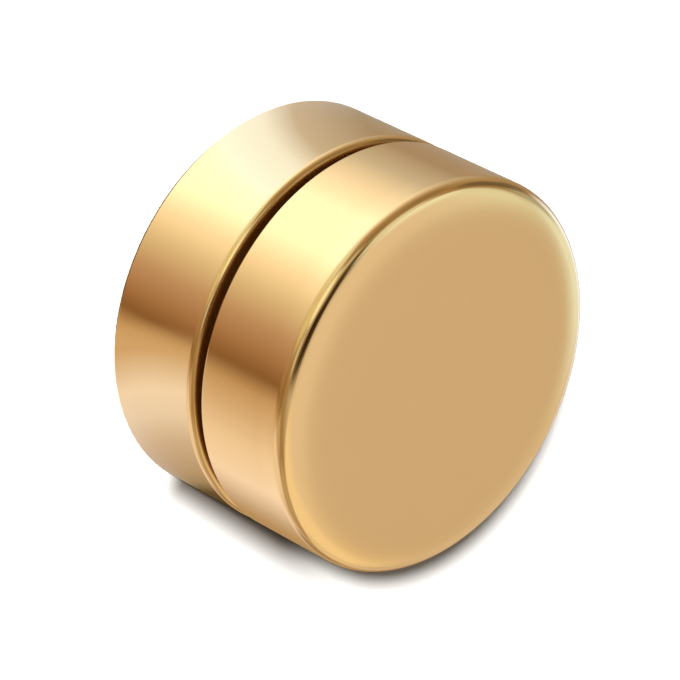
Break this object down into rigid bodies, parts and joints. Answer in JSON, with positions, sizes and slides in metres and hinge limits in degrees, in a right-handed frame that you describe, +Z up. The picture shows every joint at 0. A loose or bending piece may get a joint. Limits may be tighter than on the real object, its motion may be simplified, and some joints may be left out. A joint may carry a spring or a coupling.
{
  "type": "magnetic earring",
  "caption": "Round gold magnetic earring: a front and a back cup of equal size hold disc magnets, clamp the ear lobe between them and pull straight apart along their axis.",
  "frame": {"origin": "on the floor, at the middle of the back cup's flat rear face, on the earring's axis", "axes": "+Z up along the earring's axis, out of its front face; the earring is round about Z, so +X and +Y are any two directions square to it"},
  "size_m": [0.01, 0.01, 0.006],
  "materials": {
    "gold": "polished gold plating on steel",
    "nickel": "satin nickel plating"
  },
  "bodies": {
    "back_half": {"back_cup": "gold", "back_magnet": "nickel"},
    "front_half": {"front_cup": "gold", "front_magnet": "nickel"}
  },
  "joints": [
    {"name": "halves_part", "type": "slide", "parent": "back_half", "child": "front_half", "axis": [0, 0, 1], "range_m": [0, 0.012], "stiffness_N_per_m": 5, "springref_m": -0.01}
  ]
}
